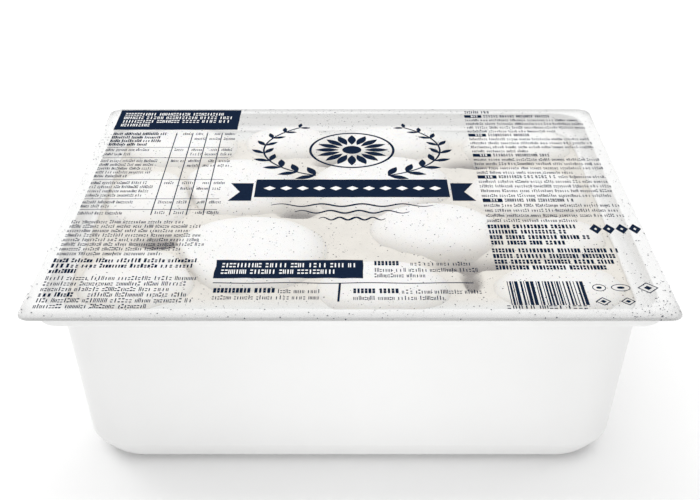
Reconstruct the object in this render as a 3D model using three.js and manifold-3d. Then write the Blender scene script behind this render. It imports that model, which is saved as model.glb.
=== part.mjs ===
// A sealed tray of mozzarella: a thermoformed white tub with a stepped wall and a flat flange,
// a clear lidding film sealed over the rim, and soft pressed cheeses that rise out of a cream filling.
// Millimetres, +X along the tray, +Y towards its back, +Z up, origin under the middle of the base.
import * as THREE from 'three';
import loadManifold from 'manifold-3d';

// ---- driving dimensions ----------------------------------------------------------------------
const LENGTH = 140;            // over the rim, along X
const DEPTH = 115;             // over the rim, along Y
const HEIGHT = 46.35;          // base to the top of the film
const WALL = 0.6;              // thickness of the formed sheet
const FILM = 0.3;              // thickness of the lidding film
const GAP = 0.3;               // clearance between pieces that touch in the real pack
const DRAFT = 4;               // slope of the tub wall, degrees from upright

const EDGE_RADIUS = 0.55;      // rounding along the flange's outer edge
const FILM_BEVEL = 0.15;       // bevel along the film's outer edge
const FLANGE_WIDTH = 3.6;      // rim edge to the mouth of the tub
const FLANGE_CORNER = 3.0;     // plan radius of the rim's outer corners
const MOUTH_CORNER = 7.0;      // plan radius at the mouth

const STEP_INSET = 3.2;        // rim edge to the outside of the stacking step
const STEP_CORNER = 4.0;       // plan radius of the step's corners
const STEP_LEVEL = 41.45;      // height of the underside of the stacking step
const TUB_INSET = 6.2;         // rim edge to the outside of the tub, just under the step
const TUB_CORNER = 9.0;        // plan radius of the tub's corners, just under the step
const FOOT_HEIGHT = 5.4;       // height of the faceted band round the base
const FOOT_KNEE = 1.5;         // height of the lower edge of that band
const FOOT_SLOPE = 1.6;        // how far the band leans in by its lower edge
const FOOT_INSET = 5.5;        // how far the flat base lies inside the wall above the band
const FOOT_CORNER = 10.2;      // plan radius of the tub's corners above the band
const KNEE_CORNER = 11.8;      // plan radius at the band's lower edge
const BASE_CORNER = 10.3;      // plan radius of the flat base

const FILL_LEVEL = 41.2;       // top of the filling between the cheeses
const CHEESE_BOTTOM = 31.1;    // how low the cheeses reach into it
const POCKET_ROOM = 0.4;       // how much wider than its cheese a pocket in the filling is
const CHEESE_GAP = 0.6;        // clearance between two cheeses that press on each other
const SIDE_ROOM = 0.5;         // clearance between a cheese and the tub wall
const PROFILE_POWER = 2.5;     // 2 is an ellipsoid, more is a flatter top and a steeper side
const PRESS_POWER = 14;        // how sharply a cheese flattens where something presses on it

const CORNER_STEPS = 8;        // facets in each plan corner
const EDGE_STEPS = 3;          // facets in the rounding of the flange's edge
const CHEESE_SEGMENTS = 16;    // facets round a cheese
const CHEESE_ROWS = 8;         // facets from its top to its bottom

// Each cheese: centre x and y, half sizes along and across, turn in degrees, and how far its top
// lies below the film. They are as uneven as hand-pulled cheese is.
const CHEESES = [
  { x: -24.0, y: -22.2, along: 20.2, across: 18.8, turn: 4, below: 0.5 },
  { x: 21.0, y: -10.8, along: 17.4, across: 13.6, turn: -8, below: 0.5 },
  { x: 7.4, y: -38.2, along: 16.8, across: 12.4, turn: 0, below: 1.2 },
  { x: 47.4, y: -38.6, along: 16.4, across: 11.8, turn: 0, below: 1.4 },
  { x: 47.0, y: 39.4, along: 17.2, across: 11.4, turn: 0, below: 0.7 },
  { x: 12.4, y: 41.6, along: 17.4, across: 11.0, turn: 0, below: 1.1 },
  { x: -17.4, y: 41.8, along: 14.2, across: 11.0, turn: 0, below: 1.3 },
  { x: -29.6, y: 13.4, along: 17.2, across: 17.4, turn: -6, below: 0.9 },
  { x: 8.4, y: 14.2, along: 20.2, across: 18.8, turn: 6, below: 0.7 },
  { x: 46.0, y: 9.4, along: 17.0, across: 15.4, turn: 0, below: 0.7 },
  { x: 50.4, y: -14.6, along: 13.0, across: 11.6, turn: 0, below: 1.9 },
  { x: -47.0, y: 38.0, along: 17.4, across: 12.8, turn: 0, below: 0.9 },
  { x: -51.6, y: 7.0, along: 13.6, across: 17.4, turn: 6, below: 1.5 },
  { x: -48.4, y: -34.4, along: 15.6, across: 15.0, turn: 0, below: 1.6 },
];

// ---- levels and insets worked out from them ----------------------------------------------------
const SEAL_LEVEL = HEIGHT - GAP - FILM;                // top of the flange
const LID_UNDERSIDE = SEAL_LEVEL + GAP;
const SLOPE = Math.tan(THREE.MathUtils.degToRad(DRAFT));

/** Inset of the tub's outer face at height z. */
function tubInset(z) {
  return TUB_INSET + (STEP_LEVEL - z) * SLOPE;
}

/** Plan radius of a corner on top of the flange: it widens from the rim's edge to the mouth. */
function flangeCorner(inset) {
  return THREE.MathUtils.mapLinear(inset, 0, FLANGE_WIDTH, FLANGE_CORNER, MOUTH_CORNER);
}

// ---- lofting rounded rectangles -----------------------------------------------------------------
/** Points of a rounded rectangle, lying inset from the rim's edge at height z. */
function roundedRing({ inset, z, corner }) {
  const halfX = LENGTH / 2 - inset;
  const halfY = DEPTH / 2 - inset;
  const quarters = [[1, 1, 0], [-1, 1, 1], [-1, -1, 2], [1, -1, 3]];
  const points = [];
  for (const [signX, signY, quarter] of quarters) {
    for (let step = 0; step <= CORNER_STEPS; step += 1) {
      const angle = (quarter + step / CORNER_STEPS) * Math.PI / 2;
      const x = signX * (halfX - corner) + corner * Math.cos(angle);
      const y = signY * (halfY - corner) + corner * Math.sin(angle);
      points.push(new THREE.Vector3(x, y, z));
    }
  }
  return points;
}

/** Six times the signed volume inside a set of triangles; positive when they face out. */
function signedVolume(vertices, triangles) {
  let sum = 0;
  const normal = new THREE.Vector3();
  for (const [a, b, c] of triangles) {
    normal.crossVectors(vertices[b], vertices[c]);
    sum += vertices[a].dot(normal);
  }
  return sum;
}

/** A BufferGeometry of the triangles, turned so that they face out. */
function solidGeometry(vertices, triangles) {
  const facesOut = signedVolume(vertices, triangles) > 0;
  const index = triangles.flatMap(([a, b, c]) => (facesOut ? [a, b, c] : [a, c, b]));
  const geometry = new THREE.BufferGeometry();
  const positions = vertices.flatMap((vertex) => vertex.toArray());
  geometry.setAttribute('position', new THREE.Float32BufferAttribute(positions, 3));
  geometry.setIndex(index);
  geometry.computeVertexNormals();
  return geometry;
}

/** A closed body through rings of equal point count, with a flat cap on the first and the last. */
function loft(sections) {
  const rings = sections.map(roundedRing);
  const count = rings[0].length;
  const vertices = rings.flat();
  const triangles = [];
  for (let ring = 0; ring + 1 < rings.length; ring += 1) {
    for (let i = 0; i < count; i += 1) {
      const next = (i + 1) % count;
      const low = ring * count;
      const high = low + count;
      triangles.push([low + i, low + next, high + next]);
      triangles.push([low + i, high + next, high + i]);
    }
  }
  const capCentre = (ring) => vertices.push(new THREE.Vector3(0, 0, ring[0].z)) - 1;
  const first = capCentre(rings[0]);
  const last = capCentre(rings[rings.length - 1]);
  const lastStart = (rings.length - 1) * count;
  for (let i = 0; i < count; i += 1) {
    const next = (i + 1) % count;
    triangles.push([first, next, i]);
    triangles.push([last, lastStart + i, lastStart + next]);
  }
  return solidGeometry(vertices, triangles);
}

/** Sections round the flange's outer edge, from its top to its side. */
function edgeSections() {
  return Array.from({ length: EDGE_STEPS + 1 }, (_, step) => {
    const angle = (Math.PI / 2) * step / EDGE_STEPS;
    const inset = EDGE_RADIUS * (1 - Math.sin(angle));
    const z = SEAL_LEVEL - EDGE_RADIUS * (1 - Math.cos(angle));
    return { inset, z, corner: flangeCorner(inset) };
  });
}

// ---- tray ------------------------------------------------------------------------------------------
/** Sections of the tub's outer or inner skin, from just under the step down to the base. */
function tubSections(offset) {
  const foot = tubInset(FOOT_HEIGHT) + offset;
  return [
    { inset: TUB_INSET + offset, z: STEP_LEVEL + offset, corner: TUB_CORNER - offset },
    { inset: foot, z: FOOT_HEIGHT, corner: FOOT_CORNER - offset },
    { inset: foot + FOOT_SLOPE, z: FOOT_KNEE + offset, corner: KNEE_CORNER - offset },
    { inset: foot + FOOT_INSET, z: offset, corner: BASE_CORNER - offset },
  ];
}

function trayGeometry() {
  const inside = tubSections(WALL).reverse();
  const mouth = [
    { inset: STEP_INSET + WALL, z: STEP_LEVEL + WALL, corner: STEP_CORNER - WALL },
    { inset: FLANGE_WIDTH, z: SEAL_LEVEL, corner: MOUTH_CORNER },
  ];
  const underFlange = SEAL_LEVEL - WALL;
  const outside = [
    { inset: 0, z: underFlange, corner: FLANGE_CORNER },
    { inset: STEP_INSET, z: underFlange, corner: STEP_CORNER },
    { inset: STEP_INSET, z: STEP_LEVEL, corner: STEP_CORNER },
  ];
  return loft([...inside, ...mouth, ...edgeSections(), ...outside, ...tubSections(0)]);
}

// ---- lidding film ----------------------------------------------------------------------------------
/** A flat sheet over the whole flange, bevelled along its edge. */
function filmGeometry() {
  return loft([
    { inset: 0, z: LID_UNDERSIDE, corner: FLANGE_CORNER },
    { inset: 0, z: HEIGHT - FILM_BEVEL, corner: FLANGE_CORNER },
    { inset: FILM_BEVEL, z: HEIGHT, corner: FLANGE_CORNER - FILM_BEVEL },
  ]);
}

// ---- filling -----------------------------------------------------------------------------------------
/** Centre and half height of a cheese that reaches from the filling to near the film. */
function cheeseBody(cheese) {
  const top = LID_UNDERSIDE - cheese.below;
  const centre = new THREE.Vector3(cheese.x, cheese.y, (top + CHEESE_BOTTOM) / 2);
  return { ...cheese, centre, halfHeight: (top - CHEESE_BOTTOM) / 2 };
}

/** Distance from a free cheese's centre to its surface along a unit direction. */
function freeRadius(body, direction) {
  const turn = THREE.MathUtils.degToRad(body.turn);
  const along = direction.x * Math.cos(turn) + direction.y * Math.sin(turn);
  const across = direction.y * Math.cos(turn) - direction.x * Math.sin(turn);
  const plan = Math.hypot(along / body.along, across / body.across);
  const upright = Math.abs(direction.z / body.halfHeight);
  return (plan ** PROFILE_POWER + upright ** PROFILE_POWER) ** (-1 / PROFILE_POWER);
}

/** The flat faces that press on a cheese: one to each close neighbour and one to each wall. */
function pressingPlanes(body, bodies) {
  const planes = [];
  for (const other of bodies.filter((candidate) => candidate !== body)) {
    const normal = other.centre.clone().sub(body.centre);
    const apart = normal.length();
    normal.normalize();
    const own = freeRadius(body, normal);
    const theirs = freeRadius(other, normal.clone().negate());
    if (own + theirs > apart - CHEESE_GAP) {
      planes.push({ normal, distance: apart * own / (own + theirs) - CHEESE_GAP / 2 });
    }
  }
  const wall = tubInset(body.centre.z) + WALL + SIDE_ROOM;
  const roomX = LENGTH / 2 - wall;
  const roomY = DEPTH / 2 - wall;
  for (const side of [-1, 1]) {
    planes.push({ normal: new THREE.Vector3(side, 0, 0), distance: roomX - side * body.x });
    planes.push({ normal: new THREE.Vector3(0, side, 0), distance: roomY - side * body.y });
  }
  return planes;
}

/** A cheese as it lies, flattened where its neighbours and the wall press on it, and swollen by room. */
function cheeseGeometry(body, bodies, room = 0) {
  const planes = pressingPlanes(body, bodies);
  const surfacePoint = (polar, azimuth) => {
    const level = Math.sin(polar);
    const x = level * Math.cos(azimuth);
    const y = level * Math.sin(azimuth);
    const direction = new THREE.Vector3(x, y, Math.cos(polar));
    let sum = freeRadius(body, direction) ** -PRESS_POWER;
    for (const { normal, distance } of planes) {
      const facing = Math.max(direction.dot(normal), 0);
      sum += (facing / distance) ** PRESS_POWER;
    }
    return body.centre.clone().addScaledVector(direction, sum ** (-1 / PRESS_POWER) + room);
  };
  const vertices = [surfacePoint(0, 0)];
  for (let row = 1; row < CHEESE_ROWS; row += 1) {
    for (let i = 0; i < CHEESE_SEGMENTS; i += 1) {
      const polar = Math.PI * row / CHEESE_ROWS;
      vertices.push(surfacePoint(polar, 2 * Math.PI * i / CHEESE_SEGMENTS));
    }
  }
  const bottom = vertices.push(surfacePoint(Math.PI, 0)) - 1;
  const lastRow = bottom - CHEESE_SEGMENTS;
  const triangles = [];
  for (let i = 0; i < CHEESE_SEGMENTS; i += 1) {
    const next = (i + 1) % CHEESE_SEGMENTS;
    triangles.push([0, 1 + i, 1 + next]);
    for (let high = 1; high < lastRow; high += CHEESE_SEGMENTS) {
      const low = high + CHEESE_SEGMENTS;
      triangles.push([high + i, low + i, low + next]);
      triangles.push([high + i, low + next, high + next]);
    }
    triangles.push([lastRow + i, bottom, lastRow + next]);
  }
  return solidGeometry(vertices, triangles);
}

/** A geometry as a solid that can be cut. */
function toSolid({ Manifold, Mesh }, geometry) {
  const vertProperties = new Float32Array(geometry.getAttribute('position').array);
  const triVerts = new Uint32Array(geometry.getIndex().array);
  return new Manifold(new Mesh({ numProp: 3, vertProperties, triVerts }));
}

/** The filling round and under the cheeses: it fits the tub and has a pocket for each cheese. */
function lowerFillGeometry(kernel, bodies) {
  const offset = WALL + GAP;
  const [, ...skin] = tubSections(offset);
  const top = { inset: tubInset(FILL_LEVEL) + offset, z: FILL_LEVEL, corner: skin[0].corner };
  let filling = toSolid(kernel, loft([top, ...skin]));
  for (const body of bodies) {
    filling = filling.subtract(toSolid(kernel, cheeseGeometry(body, bodies, POCKET_ROOM)));
  }
  const [largest] = filling.decompose().sort((a, b) => b.volume() - a.volume());
  const { numProp, vertProperties, triVerts } = largest.getMesh();
  const vertices = [];
  for (let i = 0; i < vertProperties.length; i += numProp) {
    vertices.push(new THREE.Vector3().fromArray(vertProperties, i));
  }
  const triangles = [];
  for (let i = 0; i < triVerts.length; i += 3) {
    triangles.push([...triVerts.subarray(i, i + 3)]);
  }
  return solidGeometry(vertices, triangles);
}

// ---- assembly ------------------------------------------------------------------------------------------
const whitePlastic = new THREE.MeshStandardMaterial({ color: 0xf4f4f2, roughness: 0.38 });
const clearFilm = new THREE.MeshStandardMaterial({
  color: 0xffffff,
  roughness: 0.12,
  transparent: true,
  opacity: 0.2,
});
const freshCheese = new THREE.MeshStandardMaterial({ color: 0xf6f3ea, roughness: 0.45 });
const shadedCheese = new THREE.MeshStandardMaterial({ color: 0xd8cfbf, roughness: 0.6 });

const pack = new THREE.Group();

/** Adds a named solid to the pack. */
function addPiece(name, geometry, material) {
  const mesh = new THREE.Mesh(geometry, material);
  mesh.name = name;
  pack.add(mesh);
}

addPiece('tray', trayGeometry(), whitePlastic);
addPiece('lid_film', filmGeometry(), clearFilm);

const kernel = await loadManifold();
kernel.setup();
const bodies = CHEESES.map(cheeseBody);
addPiece('lower_fill', lowerFillGeometry(kernel, bodies), shadedCheese);
bodies.forEach((body, index) => {
  const name = `mozzarella_${String(index + 1).padStart(2, '0')}`;
  addPiece(name, cheeseGeometry(body, bodies), freshCheese);
});

export default pack;
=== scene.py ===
"""A sealed tray of mozzarella: white formed tub, clear printed lidding film, soft pressed cheeses.

Sizes inside the classes are in millimetres and become metres where a mesh is made. +X runs along
the tray, +Y towards its back and +Z up, with the origin under the middle of the base.
"""

import logging
import math
import random
from collections.abc import Iterable, Iterator, Sequence
from dataclasses import dataclass, field, replace
from enum import Enum

import bmesh
import bpy
from bpy.types import Material, Mesh, NodeSocket, NodeTree, Object
from mathutils import Matrix, Vector, noise


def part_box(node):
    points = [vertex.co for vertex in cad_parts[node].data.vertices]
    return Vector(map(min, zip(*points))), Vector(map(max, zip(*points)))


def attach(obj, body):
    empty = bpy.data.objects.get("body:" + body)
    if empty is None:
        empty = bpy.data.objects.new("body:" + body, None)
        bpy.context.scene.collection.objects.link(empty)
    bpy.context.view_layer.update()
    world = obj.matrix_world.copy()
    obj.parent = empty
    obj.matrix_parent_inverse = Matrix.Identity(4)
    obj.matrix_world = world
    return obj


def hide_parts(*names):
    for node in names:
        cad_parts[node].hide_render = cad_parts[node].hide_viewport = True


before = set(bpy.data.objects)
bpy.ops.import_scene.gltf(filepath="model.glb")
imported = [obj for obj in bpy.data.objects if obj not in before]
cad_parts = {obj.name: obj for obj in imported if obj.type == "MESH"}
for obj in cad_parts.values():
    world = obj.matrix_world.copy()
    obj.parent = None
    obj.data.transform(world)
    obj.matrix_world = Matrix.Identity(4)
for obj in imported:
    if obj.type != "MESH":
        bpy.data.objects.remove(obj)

LOG = logging.getLogger("mozzarella_tray")
MM = 0.001
BODY = "root"
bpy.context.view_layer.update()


class Slot(Enum):
    """The record's material slots."""

    TRAY = "tray_plastic"
    FILM = "clear_film"
    PRINT = "film_print"
    CHEESE = "fresh_cheese"
    SHADE = "shaded_cheese"


class Node(Enum):
    """The CAD nodes that pieces stand for."""

    TRAY = "tray"
    FILM = "lid_film"
    FILL = "lower_fill"


# ---- placing pieces ---------------------------------------------------------------------------


def cad_extent(node: Node) -> tuple[Vector, Vector]:
    """Gives a CAD node's lowest and highest corner in millimetres."""
    low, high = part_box(node.value)
    return low / MM, high / MM


def add_to_scene(name: str, data: bpy.types.ID) -> Object:
    """Adds an object to the scene.

    Args:
        name: The object's name.
        data: Its mesh, light or camera.

    Returns:
        The linked object, at the origin.
    """
    added = bpy.data.objects.new(name, data)
    bpy.context.scene.collection.objects.link(added)
    return added


def make_object(name: str, mesh: Mesh, material: Material) -> Object:
    """Puts a finished mesh into the scene with one material.

    Args:
        name: The piece's name.
        mesh: Its mesh, in metres, in the row frame.
        material: The finish of all its faces.

    Returns:
        The linked object, at the origin.
    """
    mesh.name = name
    mesh.materials.clear()
    mesh.materials.append(material)
    return add_to_scene(name, mesh)


def settle(piece: Object, slot: Slot, *nodes: str) -> None:
    """Rides a finished piece on the tray's body, hides the CAD nodes that it stands for, and logs its
    faces.

    Args:
        piece: The finished object.
        slot: The material slot that it takes its finish from; not used.
        nodes: The CAD nodes that it replaces.
    """
    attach(piece, BODY)
    if nodes:
        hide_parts(*nodes)
    LOG.info("%s: %d faces", piece.name, len(piece.data.polygons))


def raw_mesh(
    points: Sequence[Vector], edges: Sequence[Sequence[int]] = (), faces: Sequence[Sequence[int]] = ()
) -> Mesh:
    """Makes a mesh just as it is given.

    Args:
        points: Its points in millimetres.
        edges: The two ends of each loose edge.
        faces: The corner numbers of each face.

    Returns:
        The mesh, in metres.
    """
    mesh = bpy.data.meshes.new("mesh")
    mesh.from_pydata([tuple(point * MM) for point in points], edges, faces)
    return mesh


def mesh_from(vertices: Sequence[Vector], faces: Sequence[Sequence[int]], smooth: bool) -> Mesh:
    """Makes a closed mesh with its faces pointing out.

    Args:
        vertices: Points in millimetres.
        faces: Corner numbers of each face.
        smooth: Whether the faces shade smoothly.

    Returns:
        The mesh, in metres.
    """
    mesh = raw_mesh(vertices, faces=faces)
    shape = bmesh.new()
    shape.from_mesh(mesh)
    bmesh.ops.recalc_face_normals(shape, faces=shape.faces)
    for face in shape.faces:
        face.smooth = smooth
    shape.to_mesh(mesh)
    shape.free()
    return mesh


# ---- node trees -------------------------------------------------------------------------------


class Graph:
    """A thin helper that adds and links nodes of one tree."""

    def __init__(self, tree: NodeTree) -> None:
        """Wraps an empty tree."""
        self.tree = tree

    def add(self, kind: str, settings: dict[str, object] | None = None, **inputs: object) -> bpy.types.Node:
        """Adds a node and fills its inputs.

        Args:
            kind: The node's type name.
            settings: Properties of the node, such as its mode.
            inputs: Values or sockets by input name, with spaces written as underscores.

        Returns:
            The new node.
        """
        node = self.tree.nodes.new(kind)
        for name, value in (settings or {}).items():
            setattr(node, name, value)
        for name, value in inputs.items():
            self.feed(node, name.replace("_", " "), value)
        return node

    def feed(self, node: bpy.types.Node, name: str | int, value: object) -> None:
        """Sets or links one input.

        Args:
            node: The node that is fed.
            name: The input's name, or its number.
            value: A socket to link, or a plain value.
        """
        socket = node.inputs[name]
        if isinstance(value, NodeSocket):
            self.tree.links.new(value, socket)
        else:
            socket.default_value = value

    def math(self, operation: str, first: object, second: object = 0.0) -> NodeSocket:
        """Adds a Math node.

        Args:
            operation: The node's operation.
            first: The first value or socket.
            second: The second value or socket.

        Returns:
            The node's result.
        """
        node = self.add("ShaderNodeMath", {"operation": operation})
        self.feed(node, 0, first)
        self.feed(node, 1, second)
        return node.outputs[0]

    def result(self, kind: str, settings: dict[str, object] | None = None, **inputs: object) -> NodeSocket:
        """Adds a node, as add does, and gives its first output."""
        return self.add(kind, settings, **inputs).outputs[0]

    def vector(self, x: object, y: object, z: object) -> NodeSocket:
        """Combines three values or sockets into a vector."""
        return self.result("ShaderNodeCombineXYZ", X=x, Y=y, Z=z)


class GeometryRecipe:
    """A Geometry Nodes tree with named inputs that is run once on a piece."""

    def __init__(self, name: str, sockets: dict[str, str]) -> None:
        """Starts a tree whose first input is the piece's own geometry, and whose last is its material.

        Args:
            name: The tree's name.
            sockets: The type of each input between those two, by name.
        """
        self.tree = bpy.data.node_groups.new(name, "GeometryNodeTree")
        self.graph = Graph(self.tree)
        interface = self.tree.interface
        for way in ("INPUT", "OUTPUT"):
            interface.new_socket("Geometry", in_out=way, socket_type="NodeSocketGeometry")
        self.identifiers = {
            label: interface.new_socket(label, in_out="INPUT", socket_type=f"NodeSocket{kind}").identifier
            for label, kind in {**sockets, "Material": "Material"}.items()
        }
        self.inputs = self.tree.nodes.new("NodeGroupInput").outputs

    def spaced(self, mode: str, **spacing: NodeSocket) -> NodeSocket:
        """Adds evenly spaced points along the edges that go in."""
        path = self.graph.result("GeometryNodeMeshToCurve", Mesh=self.inputs["Geometry"])
        return self.graph.result("GeometryNodeResampleCurve", {"mode": mode}, Curve=path, **spacing)

    def finish(self, **inputs: object) -> None:
        """Ends the tree in instances on points, Realize Instances and Set Material.

        Args:
            inputs: What the instances are and where they go, by the input names of the placing node.
        """
        graph, material = self.graph, self.inputs["Material"]
        placed = graph.result("GeometryNodeInstanceOnPoints", **inputs)
        real = graph.result("GeometryNodeRealizeInstances", Geometry=placed)
        dressed = graph.result("GeometryNodeSetMaterial", Geometry=real, Material=material)
        graph.add("NodeGroupOutput", Geometry=dressed)

    def run(self, name: str, mesh: Mesh, **values: object) -> Mesh:
        """Applies the tree to a mesh.

        Args:
            name: The name of the result.
            mesh: The geometry that goes in.
            values: The inputs by name, with spaces written as underscores.

        Returns:
            A plain mesh of the result.
        """
        carrier = add_to_scene(name, mesh)
        modifier = carrier.modifiers.new("recipe", "NODES")
        modifier.node_group = self.tree
        for label, value in values.items():
            modifier[self.identifiers[label.replace("_", " ")]] = value
        depsgraph = bpy.context.evaluated_depsgraph_get()
        result = bpy.data.meshes.new_from_object(carrier.evaluated_get(depsgraph))
        bpy.data.objects.remove(carrier)
        return result


# ---- finishes ---------------------------------------------------------------------------------


def grey(tone: float) -> tuple[float, float, float, float]:
    """Gives an opaque grey."""
    return tone, tone, tone, 1.0


@dataclass(frozen=True)
class Finish:
    """A surface finish with a Principled shader and a pattern in object space."""

    name: str
    colour: tuple[float, float, float]
    roughness: float

    def material(self) -> Material:
        """Builds the finish's material.

        Returns:
            The material, ready for a piece.
        """
        made = bpy.data.materials.new(self.name)
        made.use_nodes = True
        made.node_tree.nodes.clear()
        graph = Graph(made.node_tree)
        self.wire(graph)
        return made

    def wire(self, graph: Graph) -> None:
        """Adds the finish's nodes."""
        raise NotImplementedError

    def place(self, graph: Graph) -> NodeSocket:
        """Adds the place on the piece, in object space."""
        return graph.add("ShaderNodeTexCoord").outputs["Object"]

    def speckle(self, graph: Graph, scale: float, detail: float) -> NodeSocket:
        """Adds an even noise in object space.

        Args:
            graph: The material's graph.
            scale: Features per metre.
            detail: How many finer layers it has.

        Returns:
            The noise, from 0 to 1.
        """
        place = self.place(graph)
        return graph.result("ShaderNodeTexNoise", Vector=place, Scale=scale, Detail=detail, Roughness=0.55)

    def between(
        self, graph: Graph, factor: NodeSocket, low: Sequence[float], high: Sequence[float]
    ) -> NodeSocket:
        """Mixes two plain colours by a noise.

        Args:
            graph: The material's graph.
            factor: The noise: the first colour shows below 0.3, and the second above 0.7.
            low: The first colour.
            high: The second colour.

        Returns:
            The mixed colour.
        """
        ramp = graph.add("ShaderNodeValToRGB", Fac=factor)
        for stop, position, colour in zip(ramp.color_ramp.elements, (0.3, 0.7), (low, high)):
            stop.position = position
            stop.color = (*colour, 1.0)
        return ramp.outputs["Color"]

    def blended(
        self, graph: Graph, share: NodeSocket, colour: NodeSocket, other: Sequence[float]
    ) -> NodeSocket:
        """Takes a colour over to a plain one.

        Args:
            graph: The material's graph.
            share: 0 for the colour itself, 1 for the plain one.
            colour: The colour's socket.
            other: The plain colour.

        Returns:
            The blended colour.
        """
        node = graph.add("ShaderNodeMix", {"data_type": "RGBA"})
        # For colours, inputs 0, 6 and 7 are the factor and the two colours, and output 2 is the mix.
        for number, value in ((0, share), (6, colour), (7, (*other, 1.0))):
            graph.feed(node, number, value)
        return node.outputs[2]

    def reached(self, graph: Graph, length: NodeSocket, start: float, end: float) -> NodeSocket:
        """Adds how far a length has come from a start to an end, which are in millimetres."""
        return graph.result("ShaderNodeMapRange", Value=length, From_Min=start * MM, From_Max=end * MM)

    def uneven(self, graph: Graph, pattern: NodeSocket, less: float, more: float) -> NodeSocket:
        """Adds a roughness that a pattern takes from a little less to a little more."""
        low, high = self.roughness - less, self.roughness + more
        return graph.result("ShaderNodeMapRange", Value=pattern, To_Min=low, To_Max=high)

    def bump(self, graph: Graph, height: NodeSocket, strength: float, distance: float) -> NodeSocket:
        """Adds a bump from a pattern, with its distance in metres."""
        return graph.result("ShaderNodeBump", Strength=strength, Distance=distance, Height=height)

    def surface(self, graph: Graph, **inputs: object) -> None:
        """Ends the material in one Principled shader with inputs by name."""
        shader = graph.result("ShaderNodeBsdfPrincipled", **inputs)
        graph.add("ShaderNodeOutputMaterial", Surface=shader)

    def tinted(self, change: float) -> tuple[float, float, float]:
        """Gives the finish's colour, made lighter or darker by a factor."""
        red, green, blue = self.colour
        return red * change, green * change, blue * change

@dataclass(frozen=True)
class TrayPlastic(Finish):
    """Formed white sheet: satin, faintly clouded, with a slight orange peel."""

    def wire(self, graph: Graph) -> None:
        """Adds the sheet's nodes.

        Args:
            graph: The material's graph.
        """
        cloud = self.speckle(graph, scale=60.0, detail=2.0)
        peel = self.speckle(graph, scale=900.0, detail=3.0)
        self.surface(
            graph,
            Base_Color=self.between(graph, cloud, self.tinted(0.985), self.colour),
            Roughness=self.uneven(graph, peel, less=0.05, more=0.06),
            Normal=self.bump(graph, peel, strength=0.06, distance=0.0002),
        )


@dataclass(frozen=True)
class ClearFilm(Finish):
    """Clear lidding film: nearly see-through and glossy at low angles, with painted shade: it turns milky
    grey where its per-point shade attribute is high, most over the front lip and in a faint band inside the
    seal.
    """

    veil: float = 0.06
    # How milky and how grey the film's painted shade makes it.
    painted_shade_veil: float = 0.75
    painted_shade_tone: float = 0.45
    painted_grey_from: float = 0.25
    painted_grey_tone: float = 0.5
    gloss_power: float = 5.0

    def wire(self, graph: Graph) -> None:
        """Adds the film's nodes.

        Args:
            graph: The material's graph.
        """
        # The attribute holds painted shade: where it is high, the ramp turns the film grey and the map
        # range makes it more milky.
        painted_shade = graph.add("ShaderNodeAttribute", {"attribute_name": "painted_shade"}).outputs["Fac"]
        tone = graph.add("ShaderNodeValToRGB", Fac=painted_shade)
        stops = tone.color_ramp.elements
        stops[0].color = (*self.colour, 1.0)
        stops[1].color = grey(self.painted_shade_tone)
        stops.new(self.painted_grey_from).color = grey(self.painted_grey_tone)
        ripple = self.speckle(graph, scale=45.0, detail=2.0)
        milky = graph.result(
            "ShaderNodeBsdfPrincipled",
            Base_Color=tone.outputs["Color"],
            Roughness=self.roughness,
            Normal=self.bump(graph, ripple, strength=0.15, distance=0.0004),
        )
        facing = graph.add("ShaderNodeLayerWeight", Blend=0.5).outputs["Facing"]
        gloss = graph.math("POWER", facing, self.gloss_power)
        veil_and_painted_shade = graph.result("ShaderNodeMapRange", Value=painted_shade, To_Min=self.veil, To_Max=self.painted_shade_veil)
        mix = graph.add("ShaderNodeMixShader", Fac=graph.math("ADD", gloss, veil_and_painted_shade))
        graph.feed(mix, 1, graph.result("ShaderNodeBsdfTransparent", Color=grey(1.0)))
        graph.feed(mix, 2, milky)
        graph.add("ShaderNodeOutputMaterial", Surface=mix.outputs[0])


@dataclass(frozen=True)
class PrintInk(Finish):
    """Flexographic ink: flat and even, a little thin in places."""

    def wire(self, graph: Graph) -> None:
        """Adds the ink's nodes.

        Args:
            graph: The material's graph.
        """
        mottle = self.speckle(graph, scale=1500.0, detail=2.0)
        self.surface(
            graph,
            Base_Color=self.between(graph, mottle, self.tinted(0.85), self.tinted(1.12)),
            Roughness=self.roughness,
            Specular_IOR_Level=0.0,
        )


@dataclass(frozen=True)
class FreshCheese(Finish):
    """Moist stretched curd: white, soft, with faint strands, and with painted shade: darker and creamier
    towards the bottom, in the valleys between the cheeses.
    """

    # Painted shade: below the upper level the curd turns darker and creamier, fully so at the lower level.
    painted_valley_shade: tuple[float, float, float] = (0.69, 0.66, 0.61)
    valley_shade_top: float = 44.6
    valley_shade_bottom: float = 41.0

    def wire(self, graph: Graph) -> None:
        """Adds the curd's nodes.

        Args:
            graph: The material's graph.
        """
        cloud = self.speckle(graph, scale=120.0, detail=3.0)
        strands = self.speckle(graph, scale=700.0, detail=4.0)
        # The curd is painted darker and creamier with depth, as shade in the valleys between the cheeses.
        level = graph.add("ShaderNodeSeparateXYZ", Vector=self.place(graph)).outputs["Z"]
        valley_shade = self.reached(graph, level, self.valley_shade_top, self.valley_shade_bottom)
        curd = self.between(graph, cloud, self.tinted(0.97), self.colour)
        self.surface(
            graph,
            Base_Color=self.blended(graph, valley_shade, curd, self.painted_valley_shade),
            Roughness=self.uneven(graph, cloud, less=0.12, more=0.12),
            Subsurface_Weight=0.25,
            Subsurface_Radius=(0.003, 0.0022, 0.0014),
            Subsurface_Scale=1.0,
            Normal=self.bump(graph, strands, strength=0.18, distance=0.0006),
        )


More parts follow.
